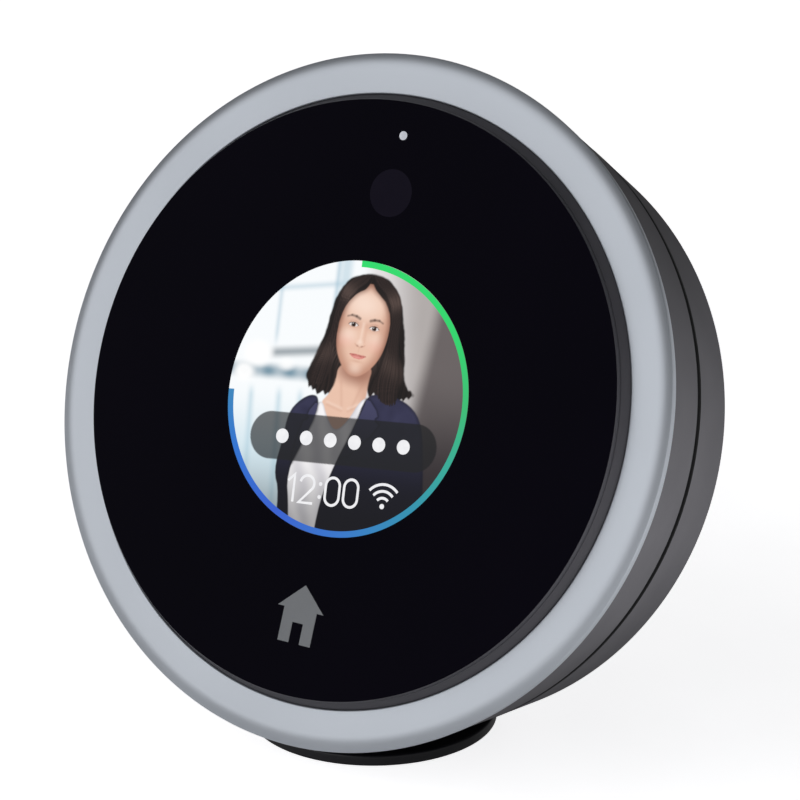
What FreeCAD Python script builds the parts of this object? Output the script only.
"""A round smart display: a tilted puck with a glass front that swivels on a small round foot.

The world frame has +Z up, the front of the display towards -Y, and its origin where the swivel axis
meets the surface that the foot stands on. The puck has a frame of its own, called the head frame: its
origin is the middle of the front ring's flat face, +X is the display's width, +Y runs up the face and
+Z comes out of the face. Head parts are drawn in the head frame and placed in the world by HEAD.
"""

import FreeCAD, Part

import math
import os

from FreeCAD import Placement, Rotation, Vector

# ---- driving dimensions, in millimetres and degrees -----------------------------------------------

TILT = 23.2                      # the face leans back by this from the vertical
FACE_CENTRE_Y = -6.8             # middle of the ring's face, ahead of the swivel axis
FACE_CENTRE_Z = 68.8             # its height above the table
SWIVEL_LIMIT = 45.0              # the head turns this far each way on the foot

FIT_GAP = 0.1                    # clearance between a rib and its groove
FAR = 200.0                      # larger than the whole object, for cutting tools
EPS = 1e-4

# screws: radius and thickness of the head, radius and length of the shank
FLANGE_SCREW = (1.5, 0.8, 0.8, 3.0)
DISPLAY_SCREW = (1.7, 0.9, 0.75, 2.4)
SENSOR_SCREW = (1.5, 0.8, 0.75, 2.0)
BOARD_SCREW = (2.1, 1.2, 0.95, 6.0)
SHELL_SCREW = (2.3, 1.6, 1.25, 15.5)
SPEAKER_SCREW = (1.6, 0.9, 0.65, 2.4)
PORT_SCREW = (1.6, 0.9, 0.65, 3.2)
THREAD_GAP = 0.05                # a pilot hole's radius over its screw's
LOOSE_GAP = 0.2                  # a clear hole's radius over its screw's

# pale front ring
RING_R = 67.4                    # at its widest, behind the rounded front edge
RING_BORE_R = 59.35
RING_T = 3.4
RING_ROUND = (3.2, 1.1)          # width and depth of the rounded front edge
RIB_R = (63.0, 64.2)             # locating rib under the ring
RIB_DEPTH = 1.2

# cover glass and the black print behind it
GLASS_R = 58.0
GLASS_FRONT = 2.8                # the glass stands this far ahead of the ring
GLASS_T = 1.2
GLASS_ROUND = 0.35
MASK_T = 0.2
MASK_INSET = 0.1
WINDOW_PRINT = 0.8               # how far the print runs in over the camera window

# display
SCREEN_R = 26.65                 # 2.1 inch round picture
DISPLAY_R = 28.0
PANEL_T = 2.0
BACKLIGHT_T = 2.0
BRACKET_T = 0.8
BRACKET_ARM_W = 5.2
BRACKET_HOLE_R = 4.0
BRACKET_HOLE_CIRCLE_R = 16.0
DISPLAY_EAR_R = 34.2             # circle of the ears that hold the display
DISPLAY_EAR_ANGLES = (30, 150, 270)
DISPLAY_POST_R = 2.4
POCKET_R = (28.3, 29.9)          # rib that holds the display in the carrier
FLEX_X = 14.0                    # the ribbon leaves the display left of the bottom ear
FLEX_W = 8.0
FLEX_T = 0.3
FLEX_Y = (-32.0, -23.0)          # from the fold over the pocket rib to the joint on the backlight

# camera, status light and microphone
CAMERA_Y = 40.2                  # camera above the middle of the screen
CAMERA_WINDOW_R = 4.6
CAMERA_SEAT_R = (4.4, 6.2)       # bore and outside of the camera's seat in the carrier
BARREL_R = (2.3, 4.35)
BARREL_Z = (-3.4, 0.9)
LENS_Z = (-1.8, -0.6)
LENS_DOME = (4.0, 0.4)           # radius and height of the lens's front surface
CAMERA_BOARD_X = (-8.0, 8.0)
CAMERA_BOARD_Y = (CAMERA_Y - 7.0, CAMERA_Y + 6.0)
CAMERA_BOARD_T = 0.8
SENSOR_HALF = 4.2                # half the width of the image sensor's block
SENSOR_T = 1.4
LED_Y = 51.4
LED_R = 0.86
LED_SIZE = (1.6, 1.0, 0.6)
LIGHT_PIPE_R = 1.0
PIPE_GAP = 0.05
MIC_X = 3.0
MIC_SIZE = (3.4, 2.4, 1.1)
SENSOR_BOARD_X = (-12.0, 12.0)
SENSOR_BOARD_Y = (LED_Y - 3.0, LED_Y + 2.2)
SENSOR_BOARD_Z = (-4.2, -3.4)
SENSOR_POST_X = 9.0
SENSOR_POST_R = 1.8

# carrier behind the glass
CARRIER_FLANGE_R = 62.4
CARRIER_FLANGE_T = 1.6
CARRIER_WALL = 2.2
CARRIER_FACE_T = 1.8
COLLAR_EDGE = -0.35              # the carrier's sloped collar meets the ring's bore at this height
FLANGE_SCREW_R = 60.8            # circle of the screws that hold the carrier in the front shell
FLANGE_SCREW_ANGLES = tuple(range(0, 360, 60))

# main board
BOARD_R = 47.0
BOARD_T = 1.2
BOARD_FRONT = -12.0
BOARD_FLAT_Y = -38.0             # the board's straight lower edge
BOARD_POST = (2.8, 42.0)         # radius of a post, and of the circle they stand on
BOARD_POST_ANGLES = (45, 135, 225, 315)
SHIELD_X = (-17.0, 15.0)
SHIELD_Y = (-18.0, 8.0)
SHIELD_T = 2.6
SHIELD_WALL = 0.4
CHIP_X = (-9.0, 5.0)
CHIP_Y = (-12.0, 2.0)
CHIP_T = 1.4
FIN_COUNT = 8
FIN_T = 1.0
FIN_H = 2.0
SPREADER_T = 1.0
SPREADER_INSET = 2.0
CONNECTOR_SIZE = (10.0, 3.0, 1.8)
ANTENNA_X = 40.0
ANTENNA_H = 5.0
ANTENNA_L = 22.0
ANTENNA_T = 0.5

# body shells
CONE_R = 67.5                    # radius of the body's cone in the plane of the ring's face
TAPER = 0.198                    # loss of radius for each millimetre of depth
REAR_Z = -41.2                   # back of the puck
REAR_ROUND = 1.0
SEAM = (-21.1, -20.2)            # gasket between the two shells
SEAM_INSET = 0.45
WALL = 2.4
SHELL_LIP = (-5.6, -RING_T)      # front wall of the front shell, under the ring
FLAT_Z = 3.3                     # the level flat under the puck, above the table
FLOOR_T = 2.2
BOSS_CIRCLE_R = 53.0             # circle of the screws that hold the two shells
BOSS_ANGLES = (35, 145, 215, 325)
BOSS_R = 3.2
BOSS_WEB_T = 2.4
FRONT_BOSS_Z = -8.0
POST_ROOT = 0.5                  # inner posts start this deep in the back wall
SCREW_SEAT = -27.0               # bottom of the deep screw pockets in the back
SCREW_POCKET_R = 2.6
LABEL_X = (-17.0, 17.0)
LABEL_Y = (-22.0, -8.0)
LABEL_T = 0.3
LABEL_GAP = 0.15

# speaker
SPEAKER_Y = 14.0
SPEAKER_R = 15.0
SPEAKER_DEPTH = 9.0
SPEAKER_EAR_X = 17.1
SPEAKER_EAR_R = 2.4
SPEAKER_POST_R = 2.0
SPEAKER_GASKET_T = 1.0
BASKET_R = (11.5, 12.6)
MAGNET_R = 9.0
CONE_EDGE_R = 11.4
CONE_NECK_R = 5.0
CONE_DEPTH = 3.6
GRILLE_HOLE_R = 0.9
GRILLE_PITCH = 3.6
GRILLE_REACH = 12.0              # holes lie within this of the speaker's middle

# power socket, reset button and their board
PORT_Y = -34.3                   # middle of the power socket and of the reset button
PORT_SIZE = (8.9, 3.2)           # outside of the socket's metal mouth
PORT_GAP = 0.2
SOCKET_L = 8.6
SOCKET_WALL = 0.35
TONGUE_HALF = (3.3, 0.35)
BUTTON_X = 16.0
BUTTON_R = 2.4
BUTTON_GAP = 0.25
BUTTON_PROUD = 0.7
BUTTON_TRAVEL = 0.8
BUTTON_STEM_R = 1.1
BUTTON_STEM_L = 7.6
BUTTON_COLLAR_R = 3.4
SWITCH_SIZE = (6.0, 4.0, 3.4)
SPRING_COIL_R = 2.1
SPRING_WIRE_R = 0.2
SPRING_PITCH = 0.55
SPRING_NOTCH = 3.8               # half the width of the port board's notch round the spring
PORT_SCREW_X = (-9.0, 9.0)
PORT_SCREW_Z = -28.0
RAIL_TOP = -25.0                 # front end of the rails under the port board
RAIL_W = 4.0

# foot and swivel
PLATE_R = 24.4                   # round foot
PLATE_BOTTOM = 0.3
PLATE_TOP = 2.5
PLATE_ROUND = 0.5
PAD_R = 22.4                     # rubber pad let into the underside of the foot
PAD_TOP = 0.9
POST_R = 3.5
POST_TOP = 10.0
POST_HEAD_R = 6.4
POST_HEAD_T = 0.7
RETAINER_Z = (7.9, 8.9)
RETAINER_GROOVE_R = 2.8
RETAINER_R = 5.4
BUSH_CLEARANCE = 0.05
BUSH_R = 4.8
BUSH_FLANGE_R = 6.2
BUSH_FLANGE_T = 1.0
WASHER_R = 7.2
WASHER_GAP = 0.1
SPRING_WASHER_R = (6.0, 5.2)     # outside of the dished washer at its foot and at its top
SPRING_WASHER_H = 0.6
STOP_RADIUS = 9.0                # the stop pin's distance from the swivel axis
STOP_PIN_R = 1.1
STOP_GAP = 0.4
STOP_TOP = FLAT_Z + 1.0
STOP_GROOVE_TOP = FLAT_Z + 1.4

# ---- positions that follow from them -----------------------------------------------------------------

HEAD = Placement(Vector(0, FACE_CENTRE_Y, FACE_CENTRE_Z), Rotation(Vector(1, 0, 0), 90 - TILT))

GLASS_BACK = GLASS_FRONT - GLASS_T
MASK_BACK = GLASS_BACK - MASK_T
CARRIER_FACE_BACK = MASK_BACK - CARRIER_FACE_T
PANEL_BACK = MASK_BACK - PANEL_T
BACKLIGHT_BACK = PANEL_BACK - BACKLIGHT_T
BRACKET_BACK = BACKLIGHT_BACK - BRACKET_T
FLANGE_BACK = SHELL_LIP[0] - CARRIER_FLANGE_T
BOARD_BACK = BOARD_FRONT - BOARD_T
SHIELD_BACK = BOARD_BACK - SHIELD_T
REAR_INSIDE = REAR_Z + WALL
BASKET_LOW = REAR_INSIDE + SPEAKER_GASKET_T
BUTTON_COLLAR_Z = (REAR_INSIDE + 2.05, REAR_INSIDE + 2.85)
PORT_BOARD_X = (-12.0, 23.0)
PORT_BOARD_Y = (PORT_Y - PORT_SIZE[1] / 2 - 1.0, PORT_Y - PORT_SIZE[1] / 2)
PORT_BOARD_Z = (REAR_INSIDE + 3.0, -22.5)
RAIL_Y = PORT_BOARD_Y[0] - 3.0
SWITCH_Z = REAR_Z + BUTTON_STEM_L + BUTTON_TRAVEL + 0.1
SPRING_Z = (REAR_INSIDE + 4.0, SWITCH_Z + 0.5)
POST_HEAD_Z = (PAD_TOP, PAD_TOP + POST_HEAD_T)


# ---- small tools -----------------------------------------------------------------------------------


def disc(radius, low, high, x=0.0, y=0.0):
    """A round bar along Z between two heights."""
    return Part.makeCylinder(radius, high - low, Vector(x, y, low))


def tube(outer, inner, low, high, x=0.0, y=0.0):
    """A round tube along Z between two heights."""
    return disc(outer, low, high, x, y).cut(disc(inner, low - 1, high + 1, x, y))


def block(x_range, y_range, z_range):
    """A box between two corners, given as three (low, high) pairs."""
    size = [pair[1] - pair[0] for pair in (x_range, y_range, z_range)]
    return Part.makeBox(*size, Vector(x_range[0], y_range[0], z_range[0]))


def polar(radius, angle):
    """X and Y of a point on a circle, at an angle in degrees from +X."""
    return radius * math.cos(math.radians(angle)), radius * math.sin(math.radians(angle))


def rounded(shape, amount, radius, height):
    """The shape with its circular edge of this radius and height filleted."""
    edges = []
    for edge in shape.Edges:
        curve = edge.Curve
        if not isinstance(curve, Part.Circle):
            continue
        if abs(curve.Radius - radius) < EPS and abs(curve.Center.z - height) < EPS:
            edges.append(edge)
    return shape.makeFillet(amount, edges)


def joined(shapes):
    """One solid from shapes that touch or overlap."""
    whole = shapes[0]
    for other in shapes[1:]:
        whole = whole.fuse(other)
    return whole.removeSplitter()


def screw(head_r, head_t, shank_r, shank_l, tip_up=True):
    """A pan-head screw whose head's seat is at Z = 0; its shank runs up, or down if tip_up is False."""
    head = rounded(disc(head_r, -head_t, 0), head_t * 0.4, head_r, -head_t)
    recess = block((-head_r * 0.6, head_r * 0.6), (-0.2, 0.2), (-head_t - 1, -head_t * 0.6))
    turned = recess.copy()
    turned.rotate(Vector(0, 0, 0), Vector(0, 0, 1), 90)
    whole = head.cut(recess).cut(turned).fuse(disc(shank_r, 0, shank_l)).removeSplitter()
    if not tip_up:
        whole.rotate(Vector(0, 0, 0), Vector(1, 0, 0), 180)
    return whole


def pilot_r(sizes):
    """Radius of the hole that a screw of these sizes cuts its thread in."""
    return sizes[2] + THREAD_GAP


def clear_r(sizes):
    """Radius of the hole that a screw of these sizes passes freely."""
    return sizes[2] + LOOSE_GAP


def moved(shape, x, y, z):
    """A copy of the shape moved from the origin to a point."""
    copy = shape.copy()
    copy.translate(Vector(x, y, z))
    return copy


def above(level):
    """In the head frame, everything over a level plane of the world."""
    half = block((-FAR, FAR), (-FAR, FAR), (level, level + FAR))
    half.Placement = HEAD.inverse().multiply(half.Placement)
    return half


def cone(inset, low, high):
    """The body's cone between two depths, drawn in from its outside by inset."""
    low_r = CONE_R + TAPER * low - inset
    high_r = CONE_R + TAPER * high - inset
    return Part.makeCone(low_r, high_r, high - low, Vector(0, 0, low))


# ---- the front: ring, glass and carrier --------------------------------------------------------------


def front_ring():
    """Pale flat ring with a crowned outer edge, a tapered side and a locating rib behind."""
    width, depth = RING_ROUND
    crown_r = (width ** 2 + depth ** 2) / (2 * depth)
    half_turn = math.asin(width / crown_r) / 2
    flat_end = Vector(RING_R - width, 0, 0)
    crown_middle = flat_end + Vector(crown_r * math.sin(half_turn), 0, crown_r * (math.cos(half_turn) - 1))
    widest = Vector(RING_R, 0, -depth)
    back = Vector(RING_R - TAPER * (RING_T - depth), 0, -RING_T)
    bore_back = Vector(RING_BORE_R, 0, -RING_T)
    bore_front = Vector(RING_BORE_R, 0, 0)
    crown = Part.Arc(flat_end, crown_middle, widest).toShape()
    corners = [widest, back, bore_back, bore_front, flat_end]
    sides = [Part.makeLine(a, b) for a, b in zip(corners, corners[1:])]
    section = Part.Face(Part.Wire([crown] + sides))
    ring = section.revolve(Vector(0, 0, 0), Vector(0, 0, 1), 360)
    rib = tube(RIB_R[1], RIB_R[0], -RING_T - RIB_DEPTH, -RING_T)
    return ring.fuse(rib).removeSplitter()


def front_glass():
    """Flat cover glass over the whole face inside the ring, with a softened edge."""
    return rounded(disc(GLASS_R, GLASS_BACK, GLASS_FRONT), GLASS_ROUND, GLASS_R, GLASS_FRONT)


def glass_mask():
    """Black print behind the glass, open over the screen, the camera and the status light."""
    mask = disc(GLASS_R - MASK_INSET, MASK_BACK, GLASS_BACK)
    for radius, y in ((SCREEN_R, 0), (CAMERA_WINDOW_R - WINDOW_PRINT, CAMERA_Y), (LED_R, LED_Y)):
        mask = mask.cut(disc(radius, -FAR, FAR, 0, y))
    return mask


def glass_carrier():
    """Dark cup that holds the glass, the display and the camera.

    A collar slopes from the glass to the ring's bore, and a flange sits under the shell's lip.
    """
    wall = tube(GLASS_R, GLASS_R - CARRIER_WALL, FLANGE_BACK, MASK_BACK)
    face = disc(GLASS_R, CARRIER_FACE_BACK, MASK_BACK)
    flange = tube(CARRIER_FLANGE_R, GLASS_R - CARRIER_WALL, FLANGE_BACK, SHELL_LIP[0])
    pocket = tube(POCKET_R[1], POCKET_R[0], BACKLIGHT_BACK, CARRIER_FACE_BACK)
    camera_seat = tube(CAMERA_SEAT_R[1], CAMERA_SEAT_R[0], BARREL_Z[0], CARRIER_FACE_BACK, 0, CAMERA_Y)
    collar_r = RING_BORE_R - FIT_GAP
    collar = tube(collar_r, GLASS_R - CARRIER_WALL, SHELL_LIP[1], COLLAR_EDGE)
    slope = Part.makeCone(collar_r, GLASS_R, MASK_BACK - COLLAR_EDGE, Vector(0, 0, COLLAR_EDGE))
    slope = slope.cut(disc(GLASS_R - CARRIER_WALL, -FAR, FAR))
    parts = [wall, face, flange, pocket, camera_seat, collar, slope]
    for angle in DISPLAY_EAR_ANGLES:
        parts.append(disc(DISPLAY_POST_R, BACKLIGHT_BACK, CARRIER_FACE_BACK, *polar(DISPLAY_EAR_R, angle)))
    for angle in BOARD_POST_ANGLES:
        parts.append(disc(BOARD_POST[0], BOARD_FRONT, CARRIER_FACE_BACK, *polar(BOARD_POST[1], angle)))
    for x in (-SENSOR_POST_X, SENSOR_POST_X):
        parts.append(disc(SENSOR_POST_R, SENSOR_BOARD_Z[1], CARRIER_FACE_BACK, x, LED_Y))
    carrier = joined(parts)
    carrier = carrier.cut(disc(POCKET_R[0], -FAR, FAR))
    carrier = carrier.cut(disc(CAMERA_SEAT_R[0], -FAR, FAR, 0, CAMERA_Y))
    carrier = carrier.cut(disc(LIGHT_PIPE_R, -FAR, FAR, 0, LED_Y))
    carrier = carrier.cut(display_flex_slot())
    for angle in DISPLAY_EAR_ANGLES:
        x, y = polar(DISPLAY_EAR_R, angle)
        carrier = carrier.cut(disc(pilot_r(DISPLAY_SCREW), BACKLIGHT_BACK - 1, CARRIER_FACE_BACK, x, y))
    for angle in BOARD_POST_ANGLES:
        x, y = polar(BOARD_POST[1], angle)
        hole_top = BOARD_FRONT + BOARD_SCREW[3] + 1
        carrier = carrier.cut(disc(pilot_r(BOARD_SCREW), BOARD_FRONT - 1, hole_top, x, y))
    for angle in FLANGE_SCREW_ANGLES:
        x, y = polar(FLANGE_SCREW_R, angle)
        carrier = carrier.cut(disc(clear_r(FLANGE_SCREW), FLANGE_BACK - 1, SHELL_LIP[0] + 1, x, y))
    for x in (-SENSOR_POST_X, SENSOR_POST_X):
        carrier = carrier.cut(disc(pilot_r(SENSOR_SCREW), SENSOR_BOARD_Z[1] - 1, CARRIER_FACE_BACK, x, LED_Y))
    return carrier


def display_flex_slot():
    """Gap in the pocket rib where the display's ribbon comes out."""
    half = FLEX_W / 2 + 0.4
    x_range = (-FLEX_X - half, -FLEX_X + half)
    y_range = (FLEX_Y[0] + 0.5, FLEX_Y[1] + 1.0)
    return block(x_range, y_range, (BACKLIGHT_BACK - 1, CARRIER_FACE_BACK))


def flange_screws():
    """Six small screws that pull the carrier up under the front shell's lip."""
    one = screw(*FLANGE_SCREW)
    places = [polar(FLANGE_SCREW_R, angle) for angle in FLANGE_SCREW_ANGLES]
    return Part.makeCompound([moved(one, x, y, FLANGE_BACK) for x, y in places])


# ---- the display ---------------------------------------------------------------------------------


def display_panel():
    """Round liquid-crystal panel, bonded behind the glass."""
    return disc(DISPLAY_R, PANEL_BACK, MASK_BACK)


def display_backlight():
    """Light guide and its frame, behind the panel."""
    back = rounded(disc(DISPLAY_R - 0.1, BACKLIGHT_BACK, PANEL_BACK), 0.3, DISPLAY_R - 0.1, BACKLIGHT_BACK)
    return back.cut(display_flex_notch())


def display_flex_notch():
    """Shallow step in the backlight where the ribbon is joined on."""
    half = FLEX_W / 2 + 0.2
    x_range = (-FLEX_X - half, -FLEX_X + half)
    y_range = (-DISPLAY_R - 1, FLEX_Y[1] + 1.5)
    return block(x_range, y_range, (BACKLIGHT_BACK - 1, BACKLIGHT_BACK + FLEX_T + 0.1))


def display_bracket():
    """Steel plate that clamps the display into its pocket by three ears."""
    plate = disc(POCKET_R[1] - 0.2, BRACKET_BACK, BACKLIGHT_BACK)
    parts = [plate]
    for angle in DISPLAY_EAR_ANGLES:
        arm_sides = (-BRACKET_ARM_W / 2, BRACKET_ARM_W / 2)
        arm = block((POCKET_R[0] - 4, DISPLAY_EAR_R), arm_sides, (BRACKET_BACK, BACKLIGHT_BACK))
        arm.rotate(Vector(0, 0, 0), Vector(0, 0, 1), angle)
        parts.append(arm)
        parts.append(disc(BRACKET_ARM_W / 2, BRACKET_BACK, BACKLIGHT_BACK, *polar(DISPLAY_EAR_R, angle)))
    bracket = joined(parts)
    for angle in DISPLAY_EAR_ANGLES:
        bracket = bracket.cut(disc(clear_r(DISPLAY_SCREW), -FAR, FAR, *polar(DISPLAY_EAR_R, angle)))
    for angle in range(0, 360, 60):
        bracket = bracket.cut(disc(BRACKET_HOLE_R, -FAR, FAR, *polar(BRACKET_HOLE_CIRCLE_R, angle)))
    half = FLEX_W / 2 + 0.4
    return bracket.cut(block((-FLEX_X - half, -FLEX_X + half), (-FAR, FLEX_Y[1] + 0.2), (-FAR, FAR)))


def display_screws():
    """Three screws through the bracket's ears into the carrier."""
    one = screw(*DISPLAY_SCREW)
    places = [polar(DISPLAY_EAR_R, angle) for angle in DISPLAY_EAR_ANGLES]
    return Part.makeCompound([moved(one, x, y, BRACKET_BACK) for x, y in places])


def display_flex():
    """Flat ribbon from the display's lower edge, over the pocket rib and back to the main board."""
    left = -FLEX_X - FLEX_W / 2
    right = -FLEX_X + FLEX_W / 2
    top = BACKLIGHT_BACK + FLEX_T
    along = block((left, right), FLEX_Y, (BACKLIGHT_BACK, top))
    down = block((left, right), (FLEX_Y[0], FLEX_Y[0] + FLEX_T), (BOARD_FRONT, top))
    return joined([along, down])


# ---- camera, light and microphone --------------------------------------------------------------------


def camera_barrel():
    """Threaded black barrel around the lens."""
    bore, outside = BARREL_R
    barrel = tube(outside, bore, *BARREL_Z, 0, CAMERA_Y)
    flare = Part.makeCone(bore, bore + 1.1, 1.0, Vector(0, CAMERA_Y, BARREL_Z[1] - 1.0))
    return barrel.cut(flare)


def camera_lens():
    """Domed front element in the barrel."""
    radius = BARREL_R[0]
    dome_r, dome_h = LENS_DOME
    glass = disc(radius, *LENS_Z, 0, CAMERA_Y)
    dome = Part.makeSphere(dome_r, Vector(0, CAMERA_Y, LENS_Z[1] + dome_h - dome_r))
    cap = dome.common(disc(radius - 0.1, LENS_Z[1], LENS_Z[1] + 1, 0, CAMERA_Y))
    return glass.fuse(cap).removeSplitter()


def camera_board():
    """Camera board with its sensor block."""
    board_top = BARREL_Z[0] - SENSOR_T
    half = SENSOR_HALF
    board = block(CAMERA_BOARD_X, CAMERA_BOARD_Y, (board_top - CAMERA_BOARD_T, board_top))
    sensor = block((-half, half), (CAMERA_Y - half, CAMERA_Y + half), (board_top, BARREL_Z[0]))
    return joined([board, sensor])


def light_pipe():
    """Clear pin that carries the status light up to the glass."""
    low = SENSOR_BOARD_Z[1] + LED_SIZE[2] + 0.1
    return disc(LIGHT_PIPE_R - PIPE_GAP, low, MASK_BACK, 0, LED_Y)


def sensor_board():
    """Narrow board over the camera that carries the status light and the microphone."""
    board = block(SENSOR_BOARD_X, SENSOR_BOARD_Y, SENSOR_BOARD_Z)
    for x in (-SENSOR_POST_X, SENSOR_POST_X):
        board = board.cut(disc(clear_r(SENSOR_SCREW), -FAR, FAR, x, LED_Y))
    return board


def status_light():
    """Small light-emitting diode under the light pipe."""
    low = SENSOR_BOARD_Z[1]
    length, width, height = LED_SIZE
    return block((-length / 2, length / 2), (LED_Y - width / 2, LED_Y + width / 2), (low, low + height))


def microphone():
    """Metal-can microphone beside the status light."""
    low = SENSOR_BOARD_Z[1]
    length, width, height = MIC_SIZE
    return block((MIC_X, MIC_X + length), (LED_Y - width / 2, LED_Y + width / 2), (low, low + height))


def sensor_screws():
    """Two screws that hold the sensor board to the carrier's posts."""
    one = screw(*SENSOR_SCREW)
    places = [(-SENSOR_POST_X, LED_Y), (SENSOR_POST_X, LED_Y)]
    return Part.makeCompound([moved(one, x, y, SENSOR_BOARD_Z[0]) for x, y in places])


# ---- main board --------------------------------------------------------------------------------------


def main_board():
    """Round circuit board with a flat lower edge, on the carrier's four posts."""
    board = disc(BOARD_R, BOARD_BACK, BOARD_FRONT)
    board = board.cut(block((-FAR, FAR), (-FAR, BOARD_FLAT_Y), (-FAR, FAR)))
    for angle in BOARD_POST_ANGLES:
        board = board.cut(disc(clear_r(BOARD_SCREW), -FAR, FAR, *polar(BOARD_POST[1], angle)))
    return board


def board_screws():
    """Four screws that hold the main board to the carrier's posts."""
    one = screw(*BOARD_SCREW)
    places = [polar(BOARD_POST[1], angle) for angle in BOARD_POST_ANGLES]
    return Part.makeCompound([moved(one, x, y, BOARD_BACK) for x, y in places])


def shield_can():
    """Pressed steel can over the processor and its memory."""
    can = block(SHIELD_X, SHIELD_Y, (SHIELD_BACK, BOARD_BACK))
    can = can.makeFillet(0.6, [e for e in can.Edges if e.BoundBox.ZMax < SHIELD_BACK + EPS])
    x_range = (SHIELD_X[0] + SHIELD_WALL, SHIELD_X[1] - SHIELD_WALL)
    y_range = (SHIELD_Y[0] + SHIELD_WALL, SHIELD_Y[1] - SHIELD_WALL)
    return can.cut(block(x_range, y_range, (SHIELD_BACK + SHIELD_WALL, BOARD_BACK + 1)))


def processor():
    """Processor package under the shield."""
    return block(CHIP_X, CHIP_Y, (BOARD_BACK - CHIP_T, BOARD_BACK))


def heat_spreader():
    """Finned aluminium plate on the shield."""
    x_range = (SHIELD_X[0] + SPREADER_INSET, SHIELD_X[1] - SPREADER_INSET)
    y_range = (SHIELD_Y[0] + SPREADER_INSET, SHIELD_Y[1] - SPREADER_INSET)
    plate_back = SHIELD_BACK - SPREADER_T
    parts = [block(x_range, y_range, (plate_back, SHIELD_BACK))]
    first = x_range[0] + FIN_T / 2
    pitch = (x_range[1] - x_range[0] - 2 * FIN_T) / (FIN_COUNT - 1)
    for index in range(FIN_COUNT):
        x = first + index * pitch
        parts.append(block((x, x + FIN_T), y_range, (plate_back - FIN_H, plate_back)))
    return joined(parts)


def flex_connector():
    """Ribbon socket on the front of the main board."""
    length, width, height = CONNECTOR_SIZE
    x_range = (-FLEX_X - length / 2, -FLEX_X + length / 2)
    return block(x_range, (FLEX_Y[0] - width, FLEX_Y[0]), (BOARD_FRONT, BOARD_FRONT + height))


def wifi_antenna(side):
    """Pressed strip antenna standing on the main board's back; side is -1 or 1."""
    strip = block((-ANTENNA_H / 2, ANTENNA_H / 2), (-ANTENNA_L / 2, ANTENNA_L / 2), (0, ANTENNA_T))
    strip = strip.cut(block((-1.5, FAR), (-8.0, -6.5), (-1, 1)))
    strip = strip.cut(block((-FAR, 1.5), (-3.5, -2.0), (-1, 1)))
    strip.rotate(Vector(0, 0, 0), Vector(0, 1, 0), 90)
    strip.translate(Vector(side * ANTENNA_X, 2.0, BOARD_BACK - ANTENNA_H / 2))
    return strip


# ---- shells ------------------------------------------------------------------------------------------


def body_slab(inset, level_inset, low, high):
    """The body between two depths, drawn in by inset and cut level level_inset above the flat."""
    return cone(inset, low, high).common(above(FLAT_Z + level_inset))


def boss_webs(low, high, reach):
    """Screw bosses between two depths, each tied to the side wall by a web."""
    parts = []
    for angle in BOSS_ANGLES:
        x, y = polar(BOSS_CIRCLE_R, angle)
        parts.append(disc(BOSS_R, low, high, x, y))
        web = block((BOSS_CIRCLE_R, reach), (-BOSS_WEB_T / 2, BOSS_WEB_T / 2), (low, high))
        web.rotate(Vector(0, 0, 0), Vector(0, 0, 1), angle)
        parts.append(web)
    return parts


def front_shell():
    """Front half of the body: tapered side wall, lip under the ring, flat below."""
    outside = body_slab(0, 0, SEAM[1], SHELL_LIP[1])
    inside = body_slab(WALL, FLOOR_T, SEAM[1] - 1, SHELL_LIP[0])
    bosses = [boss.common(outside) for boss in boss_webs(SEAM[1], FRONT_BOSS_Z, CONE_R)]
    shell = joined([outside.cut(inside)] + bosses)
    shell = shell.cut(disc(RING_BORE_R, SHELL_LIP[0], FAR))
    groove = tube(RIB_R[1] + FIT_GAP, RIB_R[0] - FIT_GAP, -RING_T - RIB_DEPTH - FIT_GAP, 1)
    shell = shell.cut(groove)
    for angle in BOSS_ANGLES:
        x, y = polar(BOSS_CIRCLE_R, angle)
        shell = shell.cut(disc(pilot_r(SHELL_SCREW), SEAM[1] - 1, FRONT_BOSS_Z - 2.0, x, y))
    for angle in FLANGE_SCREW_ANGLES:
        x, y = polar(FLANGE_SCREW_R, angle)
        hole_top = FLANGE_BACK + FLANGE_SCREW[3]
        shell = shell.cut(disc(pilot_r(FLANGE_SCREW), SHELL_LIP[0] - 1, hole_top, x, y))
    return shell


def seam_gasket():
    """Black gasket in the seam, set in a little from the outside."""
    outside = body_slab(SEAM_INSET, SEAM_INSET, *SEAM)
    inside = body_slab(WALL - 0.3, FLOOR_T - 0.3, SEAM[0] - 1, SEAM[1] + 1)
    return outside.cut(inside)


def across_y(radius, low, high, x, z):
    """A round bar along Y between two heights up the face."""
    return Part.makeCylinder(radius, high - low, Vector(x, low, z), Vector(0, 1, 0))


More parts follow.
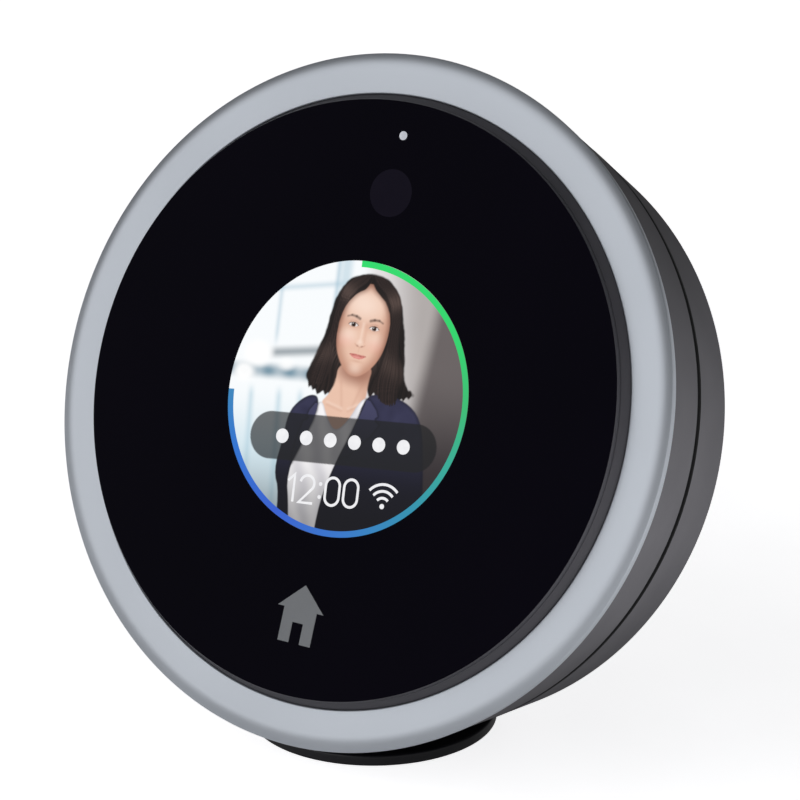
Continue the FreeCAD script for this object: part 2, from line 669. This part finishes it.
def rear_shell():
    """Rear half of the body: side wall, back wall with its openings, and the level swivel floor."""
    outside = rounded(cone(0, REAR_Z, SEAM[0]), REAR_ROUND, CONE_R + TAPER * REAR_Z, REAR_Z)
    outside = outside.common(above(FLAT_Z))
    inside = body_slab(WALL, FLOOR_T, REAR_INSIDE, SEAM[0] + 1)
    root = REAR_INSIDE - POST_ROOT
    bosses = [boss.common(outside) for boss in boss_webs(root, SEAM[0], CONE_R)]
    guide_r = BUTTON_R + BUTTON_GAP
    posts = [tube(guide_r + 1.2, guide_r, root, REAR_INSIDE + 2.0, BUTTON_X, PORT_Y)]
    for x in PORT_SCREW_X:
        posts.append(block((x - RAIL_W / 2, x + RAIL_W / 2), (RAIL_Y, PORT_BOARD_Y[0]), (root, RAIL_TOP)))
    for x in (-SPEAKER_EAR_X, SPEAKER_EAR_X):
        posts.append(disc(SPEAKER_POST_R, root, BASKET_LOW, x, SPEAKER_Y))
    shell = joined([outside.cut(inside)] + bosses + posts)
    for x in PORT_SCREW_X:
        shell = shell.cut(across_y(pilot_r(PORT_SCREW), RAIL_Y + 0.5, PORT_BOARD_Y[0] + 1, x, PORT_SCREW_Z))
    for x in (-SPEAKER_EAR_X, SPEAKER_EAR_X):
        shell = shell.cut(disc(pilot_r(SPEAKER_SCREW), root - 0.5, BASKET_LOW + 0.1, x, SPEAKER_Y))
    for angle in BOSS_ANGLES:
        x, y = polar(BOSS_CIRCLE_R, angle)
        shell = shell.cut(disc(SCREW_POCKET_R, REAR_Z - 1, SCREW_SEAT, x, y))
        shell = shell.cut(disc(clear_r(SHELL_SCREW), SCREW_SEAT - 1, SEAM[0] + 1, x, y))
    shell = shell.cut(disc(guide_r, REAR_Z - 1, REAR_INSIDE + 1, BUTTON_X, PORT_Y))
    shell = shell.cut(port_slot(PORT_GAP, REAR_Z - 1, REAR_INSIDE + 1))
    for x, y in grille_places():
        shell = shell.cut(disc(GRILLE_HOLE_R, REAR_Z - 1, REAR_INSIDE + 1, x, y))
    label_bed = block(LABEL_X, LABEL_Y, (REAR_Z - 1, REAR_Z + LABEL_T))
    return shell.cut(label_bed).cut(swivel_cuts())


def rating_label():
    """Blank label in a shallow bed on the back."""
    x_range = (LABEL_X[0] + LABEL_GAP, LABEL_X[1] - LABEL_GAP)
    y_range = (LABEL_Y[0] + LABEL_GAP, LABEL_Y[1] - LABEL_GAP)
    return block(x_range, y_range, (REAR_Z + 0.05, REAR_Z + LABEL_T))


def port_slot(gap, low, high):
    """Round-ended slot of the power socket's size, grown by gap."""
    half_w = PORT_SIZE[0] / 2 + gap
    half_h = PORT_SIZE[1] / 2 + gap
    end = half_w - half_h
    middle = block((-end, end), (PORT_Y - half_h, PORT_Y + half_h), (low, high))
    ends = [disc(half_h, low, high, x, PORT_Y) for x in (-end, end)]
    return joined([middle] + ends)


def grille_places():
    """Centres of the speaker's sound holes, on a triangular grid."""
    places = []
    rows = int(GRILLE_REACH / (GRILLE_PITCH * 0.866))
    for row in range(-rows, rows + 1):
        shift = GRILLE_PITCH / 2 * (row % 2)
        for column in range(-5, 6):
            x = column * GRILLE_PITCH + shift
            y = row * GRILLE_PITCH * 0.866
            if math.hypot(x, y) <= GRILLE_REACH:
                places.append((x, SPEAKER_Y + y))
    return places


def swivel_cuts():
    """In the head frame, the bush's hole and the stop pin's curved groove in the level floor."""
    low = FLAT_Z - 1
    hole = disc(BUSH_R, low, FLAT_Z + FLOOR_T + 1)
    slot_r = STOP_PIN_R + STOP_GAP
    ring = tube(STOP_RADIUS + slot_r, STOP_RADIUS - slot_r, low, STOP_GROOVE_TOP)
    ends = (-90 - SWIVEL_LIMIT, -90 + SWIVEL_LIMIT)
    centre = Vector(0, 0, low)
    outline = Part.makePolygon([centre] + [Vector(*polar(FAR, angle), low) for angle in ends] + [centre])
    wedge = Part.Face(outline).extrude(Vector(0, 0, 10))
    parts = [ring.common(wedge)]
    for angle in ends:
        parts.append(disc(slot_r, low, STOP_GROOVE_TOP, *polar(STOP_RADIUS, angle)))
    cuts = joined(parts).fuse(hole)
    cuts.Placement = HEAD.inverse().multiply(cuts.Placement)
    return cuts


def shell_screws():
    """Four long screws from the back that close the two shells."""
    one = screw(*SHELL_SCREW)
    places = [polar(BOSS_CIRCLE_R, angle) for angle in BOSS_ANGLES]
    return Part.makeCompound([moved(one, x, y, SCREW_SEAT) for x, y in places])


# ---- speaker, port board and reset button ------------------------------------------------------------


def speaker_gasket():
    """Foam ring between the speaker and the back wall."""
    return tube(SPEAKER_R, SPEAKER_R - 2.0, REAR_INSIDE, BASKET_LOW, 0, SPEAKER_Y)


def speaker_basket():
    """Steel basket of the speaker."""
    inner, outer = BASKET_R
    side_top = BASKET_LOW + 5.0
    rim = tube(SPEAKER_R, inner, BASKET_LOW, BASKET_LOW + 1.4, 0, SPEAKER_Y)
    for x in (-SPEAKER_EAR_X, SPEAKER_EAR_X):
        ear = disc(SPEAKER_EAR_R, BASKET_LOW, BASKET_LOW + 1.0, x, SPEAKER_Y)
        rim = rim.fuse(ear.cut(disc(clear_r(SPEAKER_SCREW), -FAR, FAR, x, SPEAKER_Y)))
    side = tube(outer, inner, BASKET_LOW + 1.0, side_top, 0, SPEAKER_Y)
    back = tube(outer, 7.4, side_top - 1.0, side_top, 0, SPEAKER_Y)
    return joined([rim, side, back])


def speaker_screws():
    """Two screws through the basket's ears into the back wall."""
    one = screw(*SPEAKER_SCREW, tip_up=False)
    places = [(-SPEAKER_EAR_X, SPEAKER_Y), (SPEAKER_EAR_X, SPEAKER_Y)]
    return Part.makeCompound([moved(one, x, y, BASKET_LOW + 1.0) for x, y in places])


def speaker_magnet():
    """Magnet and yoke at the speaker's back."""
    return disc(MAGNET_R, BASKET_LOW + 5.0, BASKET_LOW + SPEAKER_DEPTH, 0, SPEAKER_Y)


def speaker_cone():
    """Paper cone and dust cap, facing the sound holes."""
    low = BASKET_LOW + 0.6
    paper_t = 0.4
    outer = Part.makeCone(CONE_EDGE_R, CONE_NECK_R, CONE_DEPTH, Vector(0, SPEAKER_Y, low))
    foot = Vector(0, SPEAKER_Y, low - paper_t)
    inner = Part.makeCone(CONE_EDGE_R - paper_t, CONE_NECK_R - paper_t, CONE_DEPTH, foot)
    cap = disc(CONE_NECK_R - 0.2, low + CONE_DEPTH - 1.2, low + CONE_DEPTH, 0, SPEAKER_Y)
    return outer.cut(inner).fuse(cap).removeSplitter()


def port_board():
    """Small board, square to the back wall, for the power socket and the reset switch."""
    board = block(PORT_BOARD_X, PORT_BOARD_Y, PORT_BOARD_Z)
    for x in PORT_SCREW_X:
        board = board.cut(across_y(clear_r(PORT_SCREW), -FAR, FAR, x, PORT_SCREW_Z))
    notch = block((BUTTON_X - SPRING_NOTCH, BUTTON_X + SPRING_NOTCH), (-FAR, FAR), (-FAR, SPRING_Z[1]))
    return board.cut(notch)


def port_board_screws():
    """Two screws that hold the port board to its rails."""
    one = screw(*PORT_SCREW)
    one.rotate(Vector(0, 0, 0), Vector(1, 0, 0), 90)
    return Part.makeCompound([moved(one, x, PORT_BOARD_Y[1], PORT_SCREW_Z) for x in PORT_SCREW_X])


def power_socket():
    """Round-ended metal socket with its tongue, flush with the back."""
    mouth = REAR_Z + 0.3
    end = mouth + SOCKET_L
    half_w, half_t = TONGUE_HALF
    shell = port_slot(0, mouth, end).cut(port_slot(-SOCKET_WALL, mouth - 1, end - 1.2))
    tongue = block((-half_w, half_w), (PORT_Y - half_t, PORT_Y + half_t), (mouth + 1.0, end - 1.0))
    return shell.fuse(tongue).removeSplitter()


def reset_switch():
    """Tactile switch on the port board, behind the reset button."""
    width, height, depth = SWITCH_SIZE
    x_range = (BUTTON_X - width / 2, BUTTON_X + width / 2)
    y_range = (PORT_BOARD_Y[1], PORT_BOARD_Y[1] + height)
    body = block(x_range, y_range, (SWITCH_Z + 0.6, SWITCH_Z + 0.6 + depth))
    plunger = disc(1.2, SWITCH_Z, SWITCH_Z + 0.8, BUTTON_X, PORT_Y)
    return body.fuse(plunger).removeSplitter()


def reset_button():
    """Round reset button: cap through the back wall, a collar that keeps it in, and a stem."""
    outer = REAR_Z - BUTTON_PROUD
    cap = rounded(disc(BUTTON_R, outer, BUTTON_COLLAR_Z[0], BUTTON_X, PORT_Y), 0.4, BUTTON_R, outer)
    collar = disc(BUTTON_COLLAR_R, *BUTTON_COLLAR_Z, BUTTON_X, PORT_Y)
    stem = disc(BUTTON_STEM_R, BUTTON_COLLAR_Z[0], REAR_Z + BUTTON_STEM_L, BUTTON_X, PORT_Y)
    return joined([cap, collar, stem])


def button_spring():
    """Small coil spring between the button's collar and the reset switch."""
    height = SPRING_Z[1] - SPRING_Z[0] - 2 * SPRING_WIRE_R
    helix = Part.makeHelix(SPRING_PITCH, height, SPRING_COIL_R)
    section = Part.Wire(Part.makeCircle(SPRING_WIRE_R, Vector(SPRING_COIL_R, 0, 0), Vector(0, 1, 0)))
    coil = Part.Wire(helix).makePipeShell([section], True, True)
    return moved(coil, BUTTON_X, PORT_Y, SPRING_Z[0] + SPRING_WIRE_R)


# ---- the foot ----------------------------------------------------------------------------------------


def base_plate():
    """Round steel foot with a bed for its pad and a seat for the swivel post's head."""
    plate = rounded(disc(PLATE_R, PLATE_BOTTOM, PLATE_TOP), PLATE_ROUND, PLATE_R, PLATE_TOP)
    plate = plate.cut(disc(PAD_R + FIT_GAP, 0, PAD_TOP))
    plate = plate.cut(disc(POST_HEAD_R, 0, POST_HEAD_Z[1]))
    plate = plate.cut(disc(POST_R, 0, FAR))
    return plate.cut(disc(STOP_PIN_R, 0, FAR, 0, -STOP_RADIUS))


def swivel_post():
    """Steel post riveted through the foot, with a groove near its top for the retaining ring."""
    head = disc(POST_HEAD_R, *POST_HEAD_Z)
    shank = disc(POST_R, POST_HEAD_Z[1] - 0.1, POST_TOP)
    shank = rounded(shank, 0.4, POST_R, POST_TOP)
    post = joined([head, shank])
    return post.cut(tube(POST_R + 1, RETAINER_GROOVE_R, *RETAINER_Z))


def foot_pad():
    """Rubber pad that stands a little out of its bed under the foot."""
    return rounded(disc(PAD_R, 0, PAD_TOP), 0.15, PAD_R, 0)


def glide_washer():
    """Plastic washer that the head turns on."""
    return tube(WASHER_R, POST_R + WASHER_GAP, PLATE_TOP, FLAT_Z - WASHER_GAP)


def stop_pin():
    """Short pin in the foot that runs in the groove under the head and ends its turn."""
    return rounded(disc(STOP_PIN_R, PAD_TOP, STOP_TOP, 0, -STOP_RADIUS), 0.2, STOP_PIN_R, STOP_TOP)


def swivel_bush():
    """Flanged plastic bush in the floor of the head."""
    top = FLAT_Z + FLOOR_T
    sleeve = tube(BUSH_R, POST_R + BUSH_CLEARANCE, FLAT_Z, top)
    flange = tube(BUSH_FLANGE_R, POST_R + BUSH_CLEARANCE, top, top + BUSH_FLANGE_T)
    return joined([sleeve, flange])


def spring_washer():
    """Dished steel washer that gives the swivel its friction."""
    low = FLAT_Z + FLOOR_T + BUSH_FLANGE_T + 0.05
    top = low + SPRING_WASHER_H
    foot_r, top_r = SPRING_WASHER_R
    outer = Part.makeCone(foot_r, top_r, SPRING_WASHER_H, Vector(0, 0, low))
    hollow = Part.makeCone(foot_r - 0.6, top_r - 0.6, SPRING_WASHER_H, Vector(0, 0, low - 0.35))
    washer = outer.cut(hollow).fuse(tube(top_r - 0.2, POST_R + WASHER_GAP, top - 0.35, top))
    return washer.removeSplitter().cut(disc(POST_R + WASHER_GAP, 0, FAR))


def retaining_ring():
    """Open spring ring in the post's groove."""
    ring = tube(RETAINER_R, RETAINER_GROOVE_R + 0.02, RETAINER_Z[0] + 0.1, RETAINER_Z[1] - 0.1)
    return ring.cut(block((-1.6, 1.6), (0, FAR), (0, FAR)))


# ---- output ------------------------------------------------------------------------------------------

HEAD_PARTS = {
    "front_ring": front_ring,
    "front_glass": front_glass,
    "glass_mask": glass_mask,
    "glass_carrier": glass_carrier,
    "flange_screws": flange_screws,
    "display_panel": display_panel,
    "display_backlight": display_backlight,
    "display_bracket": display_bracket,
    "display_screws": display_screws,
    "display_flex": display_flex,
    "camera_barrel": camera_barrel,
    "camera_lens": camera_lens,
    "camera_board": camera_board,
    "light_pipe": light_pipe,
    "sensor_board": sensor_board,
    "sensor_screws": sensor_screws,
    "status_light": status_light,
    "microphone": microphone,
    "main_board": main_board,
    "board_screws": board_screws,
    "shield_can": shield_can,
    "processor": processor,
    "heat_spreader": heat_spreader,
    "flex_connector": flex_connector,
    "wifi_antenna_left": lambda: wifi_antenna(-1),
    "wifi_antenna_right": lambda: wifi_antenna(1),
    "front_shell": front_shell,
    "seam_gasket": seam_gasket,
    "rear_shell": rear_shell,
    "rating_label": rating_label,
    "shell_screws": shell_screws,
    "speaker_gasket": speaker_gasket,
    "speaker_basket": speaker_basket,
    "speaker_magnet": speaker_magnet,
    "speaker_cone": speaker_cone,
    "speaker_screws": speaker_screws,
    "port_board": port_board,
    "port_board_screws": port_board_screws,
    "power_socket": power_socket,
    "reset_switch": reset_switch,
    "reset_button": reset_button,
    "button_spring": button_spring,
}

WORLD_PARTS = {
    "swivel_bush": swivel_bush,
    "base_plate": base_plate,
    "swivel_post": swivel_post,
    "foot_pad": foot_pad,
    "glide_washer": glide_washer,
    "stop_pin": stop_pin,
    "spring_washer": spring_washer,
    "retaining_ring": retaining_ring,
}


def main():
    """Writes one STEP file for each sub-part."""
    os.makedirs("parts", exist_ok=True)
    for name, make in HEAD_PARTS.items():
        shape = make()
        shape.Placement = HEAD.multiply(shape.Placement)
        shape.exportStep(f"parts/{name}.step")
    for name, make in WORLD_PARTS.items():
        make().exportStep(f"parts/{name}.step")


main()
